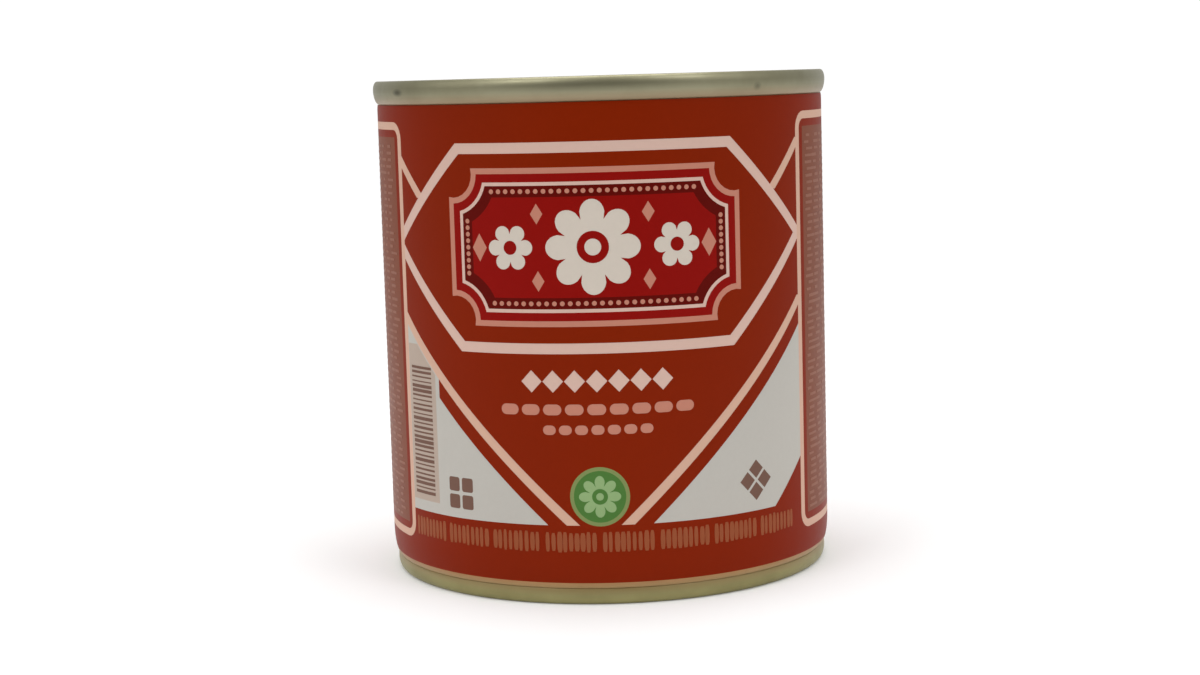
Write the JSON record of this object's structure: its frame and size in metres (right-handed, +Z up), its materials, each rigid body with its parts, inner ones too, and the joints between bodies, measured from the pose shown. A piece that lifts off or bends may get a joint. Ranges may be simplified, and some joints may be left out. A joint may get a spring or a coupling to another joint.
{
  "type": "condensed milk can",
  "caption": "Short round tinplate food can, shut, with a printed wall and plain recessed ends held on by rolled double seams.",
  "frame": {"origin": "centre of the circle that the bottom seam rests on", "axes": "+Z up along the can's axis, -Y towards the front of the label, +X to the label's right as it is read"},
  "size_m": [0.0762, 0.0762, 0.0825],
  "materials": {
    "printed_enamel": "satin print and varnish on tinplate",
    "lacquered_tinplate": "bare rolled tinplate under a thin gold lacquer"
  },
  "bodies": {
    "root": {"can_body": "printed_enamel", "top_end": "lacquered_tinplate", "bottom_end": "lacquered_tinplate"}
  },
  "joints": []
}
